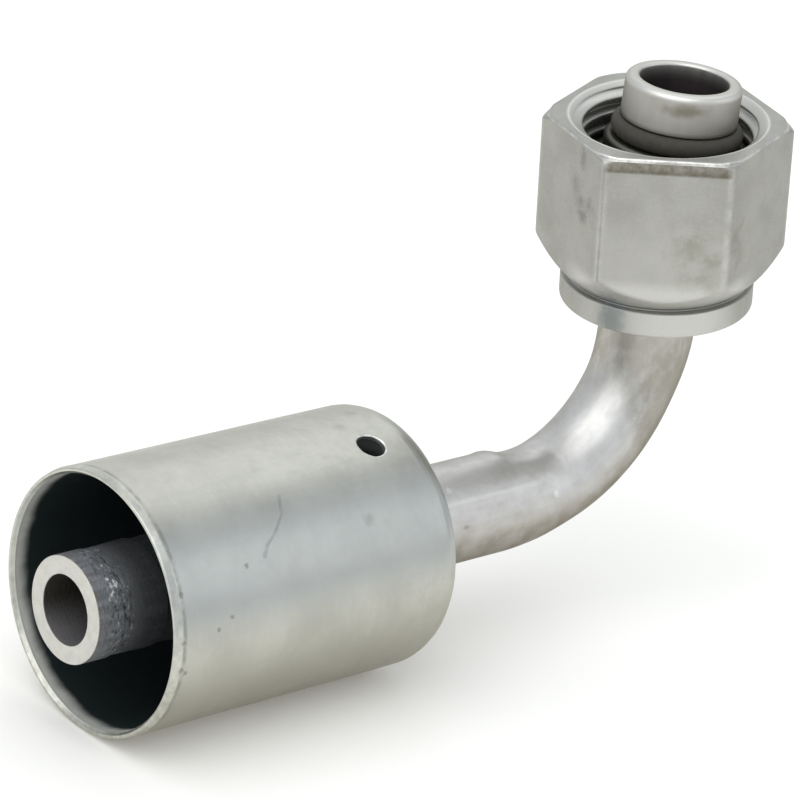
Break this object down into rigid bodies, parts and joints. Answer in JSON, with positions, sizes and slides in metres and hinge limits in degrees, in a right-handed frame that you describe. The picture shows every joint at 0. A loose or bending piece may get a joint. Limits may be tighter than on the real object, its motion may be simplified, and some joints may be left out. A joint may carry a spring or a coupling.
{
  "type": "elbow crimp hose fitting",
  "caption": "Right-angle hose end fitting: bent tube with a barbed stem and captive crimp ferrule at one end, and a pilot, seal and loose hexagon swivel nut at the other.",
  "frame": {"origin": "centre of the flat O-ring seat on the tube's bead, on the swivel axis", "axes": "+Z along the swivel axis, out of the nut and the pilot; -X along the hose axis, out of the ferrule's mouth; Y=0 is the plane of the bend"},
  "size_m": [0.085, 0.0264, 0.0567],
  "materials": {
    "drawn_aluminium": "drawn tube, soft satin with faint lengthwise lines and a smooth bend",
    "stem_metal": "dark, mottled barbs with a bright cut end",
    "braze_filler": "rippled filler metal",
    "drawn_zinc_plate": "satin plated shell with fine scratches, darker inside",
    "matte_zinc_plate": "matte plated nut with stains and worn edges",
    "dark_rubber": "dark moulded seal"
  },
  "bodies": {
    "tube_assembly": {"bent_tube": "drawn_aluminium", "hose_stem": "stem_metal", "braze_ring": "braze_filler", "port_o_ring": "dark_rubber"},
    "ferrule": {"crimp_ferrule": "drawn_zinc_plate"},
    "nut": {"swivel_nut": "matte_zinc_plate"}
  },
  "joints": [
    {"name": "ferrule_spin", "type": "hinge", "parent": "tube_assembly", "child": "ferrule", "pos_m": [-0.0345, 0, -0.037], "axis": [1, 0, 0], "continuous": true},
    {"name": "nut_spin", "type": "hinge", "parent": "tube_assembly", "child": "nut", "pos_m": [0, 0, -0.0115], "axis": [-0.1063, 0, 0.9943], "continuous": true}
  ]
}
